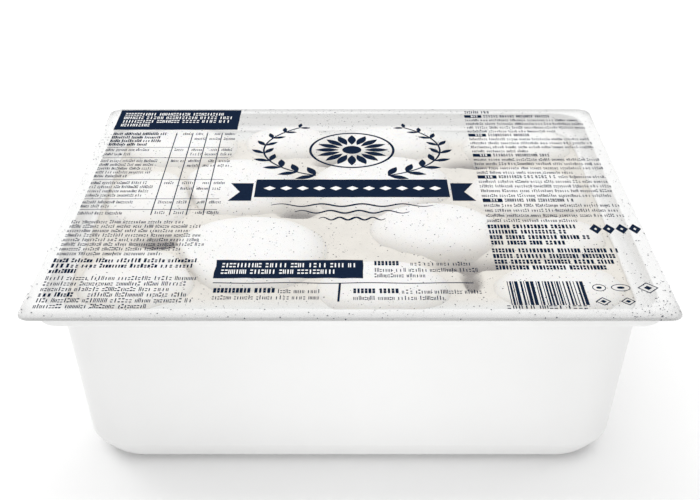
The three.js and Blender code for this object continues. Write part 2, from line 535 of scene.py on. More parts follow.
@dataclass(frozen=True)
class ShadedFilling(Finish):
    """The filling that shows in the gaps: cream and mottled, with painted shade that darkens it towards the
    bottom of its hollows, and a neutral pale grey beside the front and back walls, painted for the shaded
    band along them.
    """

    # Painted shade: the filling turns this dark from the upper level down to the lower level, in its
    # hollows.
    painted_hollow_shade: tuple[float, float, float] = (0.19, 0.165, 0.145)
    hollow_shade_bottom: float = 38.6
    hollow_shade_top: float = 40.6
    # Painted shade: beside the front and back walls the cream turns this neutral grey, standing for the
    # shaded band along them.
    pale: tuple[float, float, float] = (0.74, 0.75, 0.74)
    pale_from: float = 42.0
    pale_to: float = 46.5

    def wire(self, graph: Graph) -> None:
        """Adds the filling's nodes.

        Args:
            graph: The material's graph.
        """
        mottle = self.speckle(graph, scale=110.0, detail=3.0)
        parts = graph.add("ShaderNodeSeparateXYZ", Vector=self.place(graph)).outputs
        # Painted shade: neutral grey near the front and back walls, and dark towards the bottom of the
        # hollows.
        wall = self.reached(graph, graph.math("ABSOLUTE", parts["Y"]), self.pale_from, self.pale_to)
        depth = self.reached(graph, parts["Z"], self.hollow_shade_top, self.hollow_shade_bottom)
        cream = self.between(graph, mottle, self.tinted(0.88), self.colour)
        wall_greyed = self.blended(graph, wall, cream, self.pale)
        self.surface(
            graph,
            Base_Color=self.blended(graph, depth, wall_greyed, self.painted_hollow_shade),
            Roughness=self.roughness,
            Normal=self.bump(graph, mottle, strength=0.3, distance=0.001),
        )


# ---- lofted walls -----------------------------------------------------------------------------


@dataclass(frozen=True)
class Section:
    """One level of a lofted wall: a rounded rectangle, inset from the rim's edge."""

    inset: float
    z: float
    corner: float
    # The painted shade that the film's finish puts at this level; 0 on the tray.
    painted_shade: float = 0.0


@dataclass(frozen=True)
class Bend:
    """A turning point of a wall's profile, with the radius that rounds it off."""

    inset: float
    z: float
    corner: float
    radius: float = 0.0


@dataclass(frozen=True)
class Outline:
    """The rim's outer rectangle in plan."""

    half_x: float
    half_y: float
    corner_steps: int = 14
    side_steps: int = 10
    support: float = 0.5

    def ring(self, section: Section) -> list[Vector]:
        """Lists the points of one rounded rectangle.

        Args:
            section: Its inset, level and corner radius.

        Returns:
            The points, anticlockwise from above.
        """
        half_x = self.half_x - section.inset
        half_y = self.half_y - section.inset
        corner = section.corner
        signs = ((1, 1), (-1, 1), (-1, -1), (1, -1))
        points = []
        for quarter, (sign_x, sign_y) in enumerate(signs):
            centre = Vector((sign_x * (half_x - corner), sign_y * (half_y - corner), section.z))
            for step in range(self.corner_steps + 1):
                angle = (quarter + step / self.corner_steps) * math.pi / 2
                points.append(centre + corner * Vector((math.cos(angle), math.sin(angle), 0)))
            next_x, next_y = signs[(quarter + 1) % 4]
            after = Vector((next_x * (half_x - corner), next_y * (half_y - corner), section.z))
            angle = (quarter + 1) * math.pi / 2
            start = points[-1]
            end = after + corner * Vector((math.cos(angle), math.sin(angle), 0))
            margin = self.support / (end - start).length
            for step in range(self.side_steps + 1):
                points.append(start.lerp(end, margin + (1 - 2 * margin) * step / self.side_steps))
        return points

    def loft(self, sections: Sequence[Section]) -> Mesh:
        """Skins a closed body through sections, with a flat cap at both ends.

        Args:
            sections: The levels in order along the profile.

        Returns:
            The smooth mesh, in metres.
        """
        rings = [self.ring(section) for section in sections]
        count = len(rings[0])
        # Each point carries its section's painted shade, which the film's finish reads.
        painted_shade = [section.painted_shade for section in sections for _ in range(count)]
        vertices = [point for ring in rings for point in ring]
        faces: list[list[int]] = []
        for row in range(len(rings) - 1):
            low, high = row * count, (row + 1) * count
            for i in range(count):
                after = (i + 1) % count
                faces.append([low + i, low + after, high + after, high + i])
        last = (len(rings) - 1) * count
        faces += [list(range(count)), list(range(last, last + count))]
        mesh = mesh_from(vertices, faces, smooth=True)
        mesh.attributes.new("painted_shade", "FLOAT", "POINT").data.foreach_set("value", painted_shade)
        return mesh


def rounded_profile(bends: Sequence[Bend], arc_steps: int = 6, support: float = 0.35) -> list[Section]:
    """Turns a profile of straight runs into sections with rounded bends.

    Args:
        bends: The profile's turning points in order.
        arc_steps: The facets of each rounded bend.
        support: How close to a bend the extra section on a straight run lies.

    Returns:
        The sections in order.
    """
    sections = [Section(bends[0].inset, bends[0].z, bends[0].corner)]
    for before, bend, after in zip(bends, bends[1:], bends[2:]):
        here = Vector((bend.inset, bend.z))
        back = Vector((before.inset, before.z)) - here
        on = Vector((after.inset, after.z)) - here
        turn = math.pi - back.angle(on)
        reach = bend.radius * math.tan(turn / 2)
        start = here + back.normalized() * reach
        end = here + on.normalized() * reach
        points = []
        if back.length > reach + 2 * support:
            points.append(start + back.normalized() * support)
        for step in range(arc_steps + 1):
            share = step / arc_steps
            points.append(start.lerp(here, share).lerp(here.lerp(end, share), share))
        if on.length > reach + 2 * support:
            points.append(end + on.normalized() * support)
        sections += [Section(point.x, point.y, bend.corner) for point in points]
    sections.append(Section(bends[-1].inset, bends[-1].z, bends[-1].corner))
    return sections


# ---- tray and film ----------------------------------------------------------------------------


def clamped(share: float) -> float:
    """Keeps a share between 0 and 1."""
    return min(max(share, 0.0), 1.0)


@dataclass
class Tray:
    """The formed tub with its foot, stacking step and flange."""

    half_x: float
    half_y: float
    top: float
    wall: float = 0.6
    film: float = 0.5
    lip: float = 0.7
    edge: float = 0.65
    flange: float = 3.6
    flange_corner: float = 3.0
    mouth_corner: float = 7.0
    step_inset: float = 3.2
    step_corner: float = 4.0
    step_level: float = 41.45
    tub_inset: float = 6.2
    tub_corner: float = 9.0
    draft: float = math.radians(4)
    foot_height: float = 5.4
    foot_knee: float = 1.5
    foot_slope: float = 1.6
    foot_inset: float = 5.5
    foot_corner: float = 10.2
    knee_corner: float = 11.8
    base_corner: float = 10.3
    under_corner: float = 6.0
    mouth_run: float = 0.6
    edge_steps: int = 8

    @property
    def outline(self) -> Outline:
        """Gives the rim's rectangle."""
        return Outline(self.half_x, self.half_y)

    @property
    def seal_level(self) -> float:
        """Gives the level of the flange's top."""
        return self.top - self.film

    def tub_inset_at(self, z: float) -> float:
        """Gives the inset of the tub's outer face at a level."""
        return self.tub_inset + (self.step_level - z) * math.tan(self.draft)

    def flange_corner_at(self, inset: float) -> float:
        """Gives the plan radius on top of the flange: it widens from the edge to the mouth."""
        share = inset / self.flange
        return self.flange_corner + (self.mouth_corner - self.flange_corner) * share

    def edge_sections(self, lift: float) -> list[Section]:
        """Lists sections from the flange's top over its rounded edge to its side.

        Args:
            lift: How far the skin lies over the tray.

        Returns:
            The sections from inside to outside.
        """
        sections = []
        for step in range(self.edge_steps + 1):
            angle = math.pi / 2 * step / self.edge_steps
            inset = self.edge - (self.edge + lift) * math.sin(angle)
            level = self.seal_level - self.edge + (self.edge + lift) * math.cos(angle)
            sections.append(Section(inset, level, self.flange_corner_at(inset)))
        return sections

    def covers(self, inset: float, x: float, y: float) -> bool:
        """Tells whether the flange's rounded rectangle at an inset reaches out to a place.

        Args:
            inset: How far the rectangle lies inside the edge.
            x: The place along the tray.
            y: The place across it.

        Returns:
            True if the place is inside it.
        """
        corner = self.flange_corner_at(inset)
        out_x = abs(x) - (self.half_x - inset - corner)
        out_y = abs(y) - (self.half_y - inset - corner)
        return math.hypot(max(out_x, 0.0), max(out_y, 0.0)) + min(max(out_x, out_y), 0.0) <= corner

    def tub_bends(self, offset: float) -> list[Bend]:
        """Lists the bends of the tub's outer or inner skin.

        Args:
            offset: 0 for the outer skin, the wall's thickness for the inner one.

        Returns:
            The bends from the step down to the base.
        """
        foot = self.tub_inset_at(self.foot_height) + offset
        return [
            Bend(self.tub_inset + offset, self.step_level + offset, self.tub_corner - offset, radius=0.6),
            Bend(foot, self.foot_height, self.foot_corner - offset, radius=0.7),
            Bend(foot + self.foot_slope, self.foot_knee + offset, self.knee_corner - offset, radius=0.6),
            Bend(foot + self.foot_inset, offset, self.base_corner - offset, radius=1.2),
        ]

    def sections(self) -> list[Section]:
        """Lists the sections of the whole skin.

        Returns:
            The sections from the inner floor over the rim to the base.
        """
        under, wall = self.seal_level - self.lip, self.wall
        inside = rounded_profile([
            Bend(self.half_y / 2, wall, self.tub_corner),
            *reversed(self.tub_bends(wall)),
            Bend(self.step_inset + wall, self.step_level + wall, self.step_corner - wall, radius=0.5),
            Bend(self.flange, self.seal_level, self.mouth_corner, radius=0.3),
            Bend(self.flange - self.mouth_run, self.seal_level, self.mouth_corner),
        ])
        outside = rounded_profile([
            Bend(0.0, self.seal_level - self.edge, self.flange_corner),
            Bend(0.0, under, self.flange_corner, radius=0.03),
            Bend(self.step_inset, under, self.step_corner, radius=0.6),
            Bend(self.step_inset, self.step_level, self.step_corner, radius=0.8),
            *self.tub_bends(0.0),
            Bend(self.half_y / 2, 0.0, self.under_corner),
        ])
        return [*inside, *self.edge_sections(0.0)[:-1], *outside]

    def build(self, plastic: Material) -> None:
        """Makes the tray.

        Args:
            plastic: The formed sheet's material.
        """
        piece = make_object("formed_tray", self.outline.loft(self.sections()), plastic)
        settle(piece, Slot.TRAY, Node.TRAY.value)


@dataclass
class LidFilm:
    """The clear film that is sealed over the flange and carried down over its edge, with painted shade on
    it along the rim.
    """

    tray: Tray
    clearance: float = 0.03
    thickness: float = 0.08
    # Painted shade on the film: a faint grey band just inside the seal.
    seal_painted_shade: float = 0.1
    inner_painted_shade: float = 0.07
    seal_width: float = 3.4
    seal_gap: float = 0.2
    painted_shade_fade: float = 1.2
    cap_inset: float = 14.0
    hem: float = 0.03
    steps: int = 12
    # Painted shade over the flange and its edge, strongest at the front lip and weak at the sides.
    least_painted_shade: float = 0.02
    flange_painted_shade: float = 0.2
    edge_painted_shade: float = 0.25
    side_shade_share: float = 0.08
    back_shade_share: float = 1.3
    end_reach: float = 8.0
    end_fade: float = 5.0

    @property
    def level(self) -> float:
        """Gives the level of the film's top."""
        return self.tray.seal_level + self.clearance + self.thickness

    def skin(self, lift: float) -> list[Section]:
        """Lists one face of the film, from over the mouth to the flange's lower edge.

        Args:
            lift: How far the face lies over the tray.

        Returns:
            The face's sections.
        """
        tray, level = self.tray, self.tray.seal_level + lift
        flange, corner = tray.flange, tray.mouth_corner
        seal = flange + self.seal_width
        sections = [
            Section(flange + self.cap_inset, level, corner),
            # A faint band of painted shade lies just inside the seal.
            Section(seal + self.painted_shade_fade, level, corner),
            Section(seal, level, corner, self.inner_painted_shade),
            Section(flange + self.seal_gap, level, corner, self.seal_painted_shade),
        ]
        for step in range(self.steps):
            inset = flange + (tray.edge - flange) * step / self.steps
            sections.append(Section(inset, level, tray.flange_corner_at(inset)))
        sections += tray.edge_sections(lift)
        sections.append(Section(-lift, tray.seal_level - tray.lip + self.hem, tray.flange_corner))
        return sections

    def painted_shade_at(self, point: Vector) -> float:
        """Gives the painted shade on the film at a place on the flange, its edge included: most at the
        front lip, least at the sides.

        Args:
            point: The place, in millimetres.

        Returns:
            The painted shade that the finish reads.
        """
        tray = self.tray
        inset = min(tray.half_x - abs(point.x), tray.half_y - abs(point.y))
        share = clamped((tray.flange - inset) / tray.flange)
        drop = clamped((self.level - point.z) / tray.lip)
        painted_shade = self.least_painted_shade + (self.flange_painted_shade - self.least_painted_shade) * share
        painted_shade += (self.edge_painted_shade - self.flange_painted_shade) * drop
        reach = clamped((abs(point.y) - tray.half_y + self.end_reach) / self.end_fade)
        end = 1.0 if point.y < 0 else self.back_shade_share
        return painted_shade * (self.side_shade_share + (end - self.side_shade_share) * reach)

    def build(self, film: Material) -> Object:
        """Makes the film.

        Args:
            film: The clear film's material.

        Returns:
            The finished piece.
        """
        under = self.skin(self.clearance)
        over = self.skin(self.clearance + self.thickness)
        mesh = self.tray.outline.loft([*under, *reversed(over)])
        # The flange and its edge take painted shade by place.
        for value, vertex in zip(mesh.attributes["painted_shade"].data, mesh.vertices):
            point = vertex.co / MM
            if not self.tray.covers(self.tray.flange, point.x, point.y):
                value.value = self.painted_shade_at(point)
        piece = make_object("clear_lid_film", mesh, film)
        settle(piece, Slot.FILM, Node.FILM.value)
        return piece


# ---- filling ----------------------------------------------------------------------------------


@dataclass(frozen=True)
class Cheese:
    """One soft cheese: its centre in plan, half sizes, turn, and how far it lies below the film."""

    x: float
    y: float
    along: float
    across: float
    turn: float
    below: float


@dataclass(frozen=True)
class Press:
    """A flat face that presses on a cheese."""

    normal: Vector
    distance: float


@dataclass
class Cheeses:
    """The layer of soft cheeses under the film, flattened where they meet."""

    tray: Tray
    lid_underside: float
    floor: float = 31.1
    gap: float = 0.2
    side_room: float = 0.3
    lid_press: float = 1.08
    profile_power: float = 2.5
    press_power: float = 14.0
    segments: int = 96
    rows: int = 48
    unevenness: float = 0.45
    coarse: float = 2.3
    fine: float = 5.1
    dent: float = 0.5
    dent_range: float = 0.4
    layout: tuple[Cheese, ...] = (
        Cheese(-24.0, -22.2, 20.2, 18.8, 4, 0.5),
        Cheese(21.0, -10.8, 17.4, 13.6, -8, 0.5),
        Cheese(7.4, -38.2, 16.8, 12.4, 0, 1.2),
        Cheese(47.4, -38.6, 16.4, 11.8, 0, 1.4),
        Cheese(47.0, 39.4, 17.2, 11.4, 0, 0.7),
        Cheese(12.4, 41.6, 17.4, 11.0, 0, 1.1),
        Cheese(-17.4, 41.8, 14.2, 11.0, 0, 1.3),
        Cheese(-29.6, 13.4, 17.2, 17.4, -6, 0.9),
        Cheese(8.4, 14.2, 20.2, 18.8, 6, 0.7),
        Cheese(46.0, 9.4, 17.0, 15.4, 0, 0.7),
        Cheese(50.4, -14.6, 13.0, 11.6, 0, 1.9),
        Cheese(-47.0, 38.0, 17.4, 12.8, 0, 0.9),
        Cheese(-51.6, 7.0, 13.6, 17.4, 6, 1.5),
        Cheese(-48.4, -34.4, 15.6, 15.0, 0, 1.6),
    )

    def centre(self, cheese: Cheese) -> Vector:
        """Gives a cheese's centre."""
        return Vector((cheese.x, cheese.y, (self.lid_underside - cheese.below + self.floor) / 2))

    def half_height(self, cheese: Cheese) -> float:
        """Gives half of a cheese's height."""
        return (self.lid_underside - cheese.below - self.floor) / 2

    def free_radius(self, cheese: Cheese, direction: Vector) -> float:
        """Gives how far a free cheese reaches from its centre.

        Args:
            cheese: The cheese, as if nothing pressed on it.
            direction: The unit direction that is asked for.

        Returns:
            The distance from its centre to its surface.
        """
        half_height = self.half_height(cheese) * self.lid_press
        turn = math.radians(cheese.turn)
        along = direction.x * math.cos(turn) + direction.y * math.sin(turn)
        across = direction.y * math.cos(turn) - direction.x * math.sin(turn)
        plan = math.hypot(along / cheese.along, across / cheese.across)
        upright = abs(direction.z / half_height)
        power = self.profile_power
        return (plan**power + upright**power) ** (-1 / power)

    def presses(self, cheese: Cheese) -> list[Press]:
        """Lists what presses on a cheese: each close neighbour, the film, the floor and each wall.

        Args:
            cheese: The cheese that is pressed.

        Returns:
            The faces, in an order that stays.
        """
        centre = self.centre(cheese)
        found = []
        for other in self.layout:
            if other is cheese:
                continue
            apart = self.centre(other) - centre
            normal = apart.normalized()
            own = self.free_radius(cheese, normal)
            theirs = self.free_radius(other, -normal)
            if own + theirs > apart.length - self.gap:
                found.append(Press(normal, apart.length * own / (own + theirs) - self.gap / 2))
        wall = self.tray.tub_inset_at(centre.z) + self.tray.wall + self.side_room
        for end in (1, -1):
            found.append(Press(Vector((0, 0, end)), self.half_height(cheese)))
        for side in (-1, 1):
            found.append(Press(Vector((side, 0, 0)), self.tray.half_x - wall - side * cheese.x))
            found.append(Press(Vector((0, side, 0)), self.tray.half_y - wall - side * cheese.y))
        return found

    def surface_point(self, cheese: Cheese, presses: Sequence[Press], direction: Vector) -> Vector:
        """Gives a point of a pressed, slightly uneven cheese.

        Args:
            cheese: The cheese.
            presses: What presses on it.
            direction: The unit direction from its centre.

        Returns:
            The point on its surface.
        """
        power = self.press_power
        total = self.free_radius(cheese, direction) ** -power
        for press in presses:
            total += (max(direction.dot(press.normal), 0.0) / press.distance) ** power
        radius = total ** (-1 / power)
        centre = self.centre(cheese)
        wander = noise.noise(direction * self.coarse + centre)
        wander += 0.5 * noise.noise(direction * self.fine - centre)
        return centre + direction * (radius - self.unevenness * (self.dent + self.dent_range * wander))

    def mesh(self, cheese: Cheese) -> Mesh:
        """Makes one cheese's mesh, as a globe of rows and segments with a point at each pole.

        Args:
            cheese: The cheese.

        Returns:
            Its mesh, in metres.
        """
        presses = self.presses(cheese)
        up = Vector((0, 0, 1))
        vertices = [self.surface_point(cheese, presses, up)]
        for row in range(1, self.rows):
            polar = math.pi * row / self.rows
            level = math.sin(polar)
            for i in range(self.segments):
                azimuth = math.tau * i / self.segments
                direction = Vector((level * math.cos(azimuth), level * math.sin(azimuth), math.cos(polar)))
                vertices.append(self.surface_point(cheese, presses, direction))
        vertices.append(self.surface_point(cheese, presses, -up))
        return mesh_from(vertices, list(self.faces(len(vertices) - 1)), smooth=True)

    def faces(self, bottom: int) -> Iterator[list[int]]:
        """Yields the faces of a globe of rows and segments.

        Args:
            bottom: The number of its last point.

        Yields:
            The corner numbers of each face.
        """
        last_row = bottom - self.segments
        for i in range(self.segments):
            after = (i + 1) % self.segments
            yield [0, 1 + i, 1 + after]
            for high in range(1, last_row, self.segments):
                low = high + self.segments
                yield [high + i, low + i, low + after, high + after]
            yield [last_row + i, bottom, last_row + after]

    def build(self, curd: Material) -> None:
        """Makes every cheese.

        Args:
            curd: The cheese's material.
        """
        for number, cheese in enumerate(self.layout, start=1):
            piece = make_object(f"soft_cheese_{number:02d}", self.mesh(cheese), curd)
            settle(piece, Slot.CHEESE, f"mozzarella_{number:02d}")


@dataclass(frozen=True)
class Hollow:
    """A dip in the filling's top: its centre in plan, its reach each way and its depth."""

    x: float
    y: float
    reach_x: float
    reach_y: float
    depth: float


@dataclass
class LowerFill:
    """The curd between and under the cheeses, with an uneven top and a few hollows; its finish paints shade
    into them.
    """

    tray: Tray
    level: float
    reach: float = 0.1
    rings: int = 60
    foot_room: float = 1.0
    middle_room: float = 1.0
    least_corner: float = 0.8
    top_band: float = 1.0
    swell: float = 0.6
    swell_scale: float = 0.11
    ripple: float = 0.3
    ripple_scale: float = 0.37
    hollows: tuple[Hollow, ...] = (
        Hollow(-46.0, -15.0, 5.4, 2.6, 6.0),
        Hollow(28.0, -32.6, 2.2, 4.6, 4.3),
        Hollow(29.5, -25.4, 11.0, 2.8, 3.0),
        Hollow(-12.8, 1.0, 4.6, 2.6, 6.0),
        Hollow(-3.0, 31.0, 6.0, 2.4, 6.0),
        Hollow(33.0, 30.0, 7.0, 2.6, 5.0),
    )

    def height(self, x: float, y: float) -> float:
        """Gives the level of the filling's top.

        Args:
            x: The place along the tray.
            y: The place across it.

        Returns:
            The level, in millimetres.
        """
        place = Vector((x, y, 0.0))
        level = self.level + self.swell * noise.noise(place * self.swell_scale)
        level += self.ripple * noise.noise(place * self.ripple_scale)
        for hollow in self.hollows:
            away = ((x - hollow.x) / hollow.reach_x) ** 2 + ((y - hollow.y) / hollow.reach_y) ** 2
            level -= hollow.depth * math.exp(-away)
        return level

    def build(self, curd: Material) -> None:
        """Makes the filling.

        Args:
            curd: The filling's material.
        """
        tray = self.tray
        outline = Outline(tray.half_x, tray.half_y, corner_steps=6, side_steps=72)
        corner = tray.tub_corner - tray.wall + self.reach
        inset = tray.tub_inset_at(self.level) + tray.wall - self.reach
        low = tray.foot_height + self.foot_room
        sections = [Section(tray.tub_inset_at(low) + tray.wall - self.reach, low, corner)]
        for ring in range(self.rings):
            share = ring / self.rings
            spread = (tray.half_y - inset - self.middle_room) * share
            radius = max(self.least_corner, corner * (1 - share))
            sections.append(Section(inset + spread, self.level, radius))
        mesh = outline.loft(sections)
        for vertex in mesh.vertices:
            if vertex.co.z > (self.level - self.top_band) * MM:
                vertex.co.z = self.height(vertex.co.x / MM, vertex.co.y / MM) * MM
        settle(make_object("lower_filling", mesh, curd), Slot.SHADE, Node.FILL.value)


# ---- print ------------------------------------------------------------------------------------


@dataclass(frozen=True)
class Lettering:
    """A size of small print, shown by plain marks in place of letters."""

    advance: float
    cap: float
    stem: float
    low_share: float


@dataclass(frozen=True)
class Paragraph:
    """Rows of marks that share a left margin."""

    left: float
    top: float
    pitch: float
    widths: tuple[float, ...]


@dataclass(frozen=True)
class PrintSurface:
    """The film's face to print on, the ink, and how far the print stands proud.

    The print is laid out at the design level, and scaled about the foot of the eye to the film's level.
    """

    level: float
    relief: float
    ink: Material
    design_level: float = 46.3
    eye: tuple[float, float, float] = (0.0, -265.7, 177.5)

    def settle(self, name: str, mesh: Mesh) -> Object:
        """Scales flat print to the film and finishes the piece.

        Args:
            name: The piece's name.
            mesh: The print, flat at the film's level.

        Returns:
            The finished piece.
        """
        foot = Vector((self.eye[0], self.eye[1], 0.0)) * MM
        share = (self.eye[2] - self.level) / (self.eye[2] - self.design_level)
        scale = Matrix.Diagonal((share, share, 1, 1))
        mesh.transform(Matrix.Translation(foot) @ scale @ Matrix.Translation(-foot))
        piece = make_object(name, mesh, self.ink)
        settle(piece, Slot.PRINT)
        # Ink this close to the cheeses would darken them more than real ink on a film does.
        piece.visible_shadow = False
        piece.visible_diffuse = False
        return piece


class MarkRows:
    """Rows of plain marks that stand where small print would, made with Geometry Nodes."""

    seed_shift: int = 7
    small_drop: float = 0.28
    mark_width: float = 0.8
    single_share: float = 1.3
    lying_width: float = 0.74
    cap_share: float = 0.42
    end_share: float = 0.8
    word_gap: float = 1.9
    word_lengths: range = range(3, 11)

    def __init__(self) -> None:
        """Builds the tree once for all rows."""
        sockets = dict.fromkeys(("Advance", "Cap Height", "Stem Share", "Low Share", "Relief"), "Float")
        self.recipe = GeometryRecipe("mark_rows", {**sockets, "Seed": "Int"})
        inputs = self.recipe.inputs
        self.recipe.finish(
            Points=self.recipe.spaced("LENGTH", Length=inputs["Advance"]),
            Instance=self.kinds(),
            Pick_Instance=True,
            Instance_Index=self.choice(),
            Scale=self.recipe.graph.vector(inputs["Advance"], self.height(), inputs["Relief"]),
        )

    def choice(self) -> NodeSocket:
        """Adds the random choice of each mark's kind.

        Returns:
            A whole number from 0 to 2.
        """
        graph = self.recipe.graph
        node = graph.add("FunctionNodeRandomValue", {"data_type": "INT"}, Seed=self.recipe.inputs["Seed"])
        # For whole numbers, inputs 4 and 5 are the least and the most, and output 2 is the draw.
        graph.feed(node, 4, 0)
        graph.feed(node, 5, 2)
        return node.outputs[2]

    def height(self) -> NodeSocket:
        """Adds the marks' height.

        Returns:
            The full height, or a lower one for the share of small letters.
        """
        graph, inputs = self.recipe.graph, self.recipe.inputs
        seed = graph.math("ADD", inputs["Seed"], self.seed_shift)
        draw = graph.add("FunctionNodeRandomValue", {"data_type": "FLOAT"}, Seed=seed).outputs[1]
        low = graph.math("LESS_THAN", draw, inputs["Low Share"])
        drop = graph.math("MULTIPLY", low, self.small_drop)
        return graph.math("MULTIPLY", inputs["Cap Height"], graph.math("SUBTRACT", 1.0, drop))

    def bar(self, width: object, height: object, x: object, y: object) -> NodeSocket:
        """Adds an upright or lying bar of a mark that is one unit wide and high.

        Args:
            width: The bar's width.
            height: Its height.
            x: The middle of its width.
            y: The middle of its height.

        Returns:
            The bar's geometry.
        """
        graph = self.recipe.graph
        cube = graph.result("GeometryNodeMeshCube", Size=graph.vector(width, height, 1.0))
        return graph.result("GeometryNodeTransform", Geometry=cube, Translation=graph.vector(x, y, 0.5))

    def kinds(self) -> NodeSocket:
        """Adds the kinds of mark: a pair of posts, a single post and a pair of lying bars.

        Returns:
            The three kinds as instances, for the placing node to pick from.
        """
        graph, stem = self.recipe.graph, self.recipe.inputs["Stem Share"]
        half = graph.math("MULTIPLY", stem, 0.5)
        far = graph.math("SUBTRACT", self.mark_width, half)
        top = graph.math("SUBTRACT", 1.0, half)
        single = graph.math("MULTIPLY", stem, self.single_share)
        middle, lying = self.mark_width / 2, self.lying_width
        shapes = (
            (self.bar(stem, 1.0, half, 0.5), self.bar(stem, 1.0, far, 0.5)),
            (self.bar(single, 1.0, middle, 0.5),),
            (self.bar(lying, stem, middle, half), self.bar(lying, stem, middle, top)),
        )
        together = graph.add("GeometryNodeJoinGeometry")
        for bars in shapes:
            joined = graph.add("GeometryNodeJoinGeometry")
            for bar in bars:
                graph.feed(joined, 0, bar)
            instance = graph.result("GeometryNodeGeometryToInstance", Geometry=joined.outputs[0])
            graph.feed(together, 0, instance)
        return together.outputs[0]

    def words(
        self, paragraphs: Iterable[Paragraph], style: Lettering, level: float, draw: random.Random
    ) -> Mesh:
        """Lays out the rows as one edge for each word.

        Args:
            paragraphs: The blocks of rows.
            style: The size of the marks.
            level: The level of the surface printed on.
            draw: The source of the words' lengths.

        Returns:
            A mesh of loose edges, in metres.
        """
        points: list[Vector] = []
        for paragraph in paragraphs:
            for row, width in enumerate(paragraph.widths):
                y = paragraph.top - row * paragraph.pitch - style.cap * self.cap_share
                x, end = paragraph.left, paragraph.left + width
                while x + 2 * style.advance < end:
                    letters = draw.choice(self.word_lengths)
                    stop = min(x + letters * style.advance, end - style.advance * self.end_share)
                    points += [Vector((x, y, level)), Vector((stop, y, level))]
                    x = stop + style.advance * self.word_gap
        return raw_mesh(points, edges=[(i, i + 1) for i in range(0, len(points), 2)])

    def build(
        self, name: str, paragraphs: Sequence[Paragraph], style: Lettering, surface: PrintSurface, seed: int
    ) -> Object:
        """Makes one piece of print.

        Args:
            name: The piece's name.
            paragraphs: The blocks of rows.
            style: The size of the marks.
            surface: What it is printed on, and with what.
            seed: The seed of its word lengths and marks.

        Returns:
            The finished piece.
        """
        words = self.words(paragraphs, style, surface.level, random.Random(seed))
        mesh = self.recipe.run(
            name,
            words,
            Advance=style.advance * MM,
            Cap_Height=style.cap * MM,
            Stem_Share=style.stem,
            Low_Share=style.low_share,
            Relief=surface.relief * MM,
            Seed=seed,
            Material=surface.ink,
        )
        return surface.settle(name, mesh)


def corners(left: float, bottom: float, right: float, top: float) -> list[Vector]:
    """Lists the corners of an upright rectangle."""
    return [Vector(corner) for corner in ((left, bottom), (right, bottom), (right, top), (left, top))]


class FlatShapes:
    """Collects flat printed shapes and makes one thin solid piece of them."""

    rough_step: float = 2.4
    tip_from: float = 0.04
    tip_span: float = 0.92
    tip_fullness: float = 0.6

    def __init__(self, surface: PrintSurface) -> None:
        """Starts with no shape.

        Args:
            surface: What the shapes are printed on, and with what.
        """
        self.surface = surface
        self.vertices: list[Vector] = []
        self.faces: list[list[int]] = []

    def add_ring(self, low: Sequence[int], high: Sequence[int]) -> None:
        """Joins two loops of points by a band of faces.

        Args:
            low: The point numbers of one loop.
            high: Those of the other.
        """
        count = len(low)
        for i in range(count):
            after = (i + 1) % count
            self.faces.append([low[i], low[after], high[after], high[i]])

    def loops(self, outline: Sequence[Vector]) -> tuple[list[int], list[int]]:
        """Adds an outline at the bottom and at the top.

        Args:
            outline: The points of the outline.

        Returns:
            The point numbers of the lower and of the upper loop.
        """
        start, count = len(self.vertices), len(outline)
        for level in (self.surface.level, self.surface.level + self.surface.relief):
            self.vertices += [Vector((point.x, point.y, level)) for point in outline]
        return list(range(start, start + count)), list(range(start + count, start + 2 * count))

    def plate(self, outline: Sequence[Vector]) -> None:
        """Adds a filled shape.

        Args:
            outline: The points of its edge.
        """
        low, high = self.loops(outline)
        self.add_ring(low, high)
        self.faces += [low, high]

    def hoop(self, outer: Sequence[Vector], inner: Sequence[Vector]) -> None:
        """Adds a shape with a hole.

        Args:
            outer: The points of its edge.
            inner: As many points of its hole.
        """
        outer_low, outer_high = self.loops(outer)
        inner_low, inner_high = self.loops(inner)
        self.add_ring(outer_low, outer_high)
        self.add_ring(inner_low, inner_high)
        self.add_ring(outer_low, inner_low)
        self.add_ring(outer_high, inner_high)

    def box(self, left: float, bottom: float, right: float, top: float) -> None:
        """Adds an upright rectangle."""
        self.plate(corners(left, bottom, right, top))

    def rough_box(
        self, left: float, bottom: float, right: float, top: float, seed: int, jag: float = 0.14
    ) -> None:
        """Adds a rectangle whose edges wander as if cut by hand.

        Args:
            left: Its left side.
            bottom: Its lower side.
            right: Its right side.
            top: Its upper side.
            seed: The seed of its wander.
            jag: How far its edges wander.
        """
        draw = random.Random(seed)
        spots = corners(left, bottom, right, top)
        outline = []
        for start, end in zip(spots, spots[1:] + spots[:1]):
            steps = max(2, round((end - start).length / self.rough_step))
            for step in range(steps):
                wander = Vector((draw.uniform(-jag, jag), draw.uniform(-jag, jag)))
                outline.append(start.lerp(end, step / steps) + wander)
        self.plate(outline)

    def stroke(self, path: Sequence[Vector], width: float, taper: bool = False) -> None:
        """Adds a line along a path.

        Args:
            path: The points of its middle.
            width: Its width.
            taper: Whether it is pointed at both ends.
        """
        left, right = [], []
        last = len(path) - 1
        for i, point in enumerate(path):
            along = (path[min(i + 1, last)] - path[max(i - 1, 0)]).normalized()
            along_share = self.tip_from + self.tip_span * i / last
            share = math.sin(math.pi * along_share) ** self.tip_fullness if taper else 1.0
            side = Vector((-along.y, along.x)) * width / 2 * share
            left.append(point + side)
            right.append(point - side)
        self.plate([*right, *reversed(left)])

    def mesh(self) -> Mesh:
        """Makes one mesh of all the shapes."""
        return mesh_from(self.vertices, self.faces, smooth=False)

    def build(self, name: str) -> Object:
        """Makes the piece.

        Args:
            name: The piece's name.

        Returns:
            The finished piece.
        """
        return self.surface.settle(name, self.mesh())


def ellipse(centre: Vector, radius_x: float, radius_y: float, steps: int = 40) -> list[Vector]:
    """Lists the points of an ellipse."""
    turns = (math.tau * step / steps for step in range(steps))
    return [centre + Vector((radius_x * math.cos(turn), radius_y * math.sin(turn))) for turn in turns]


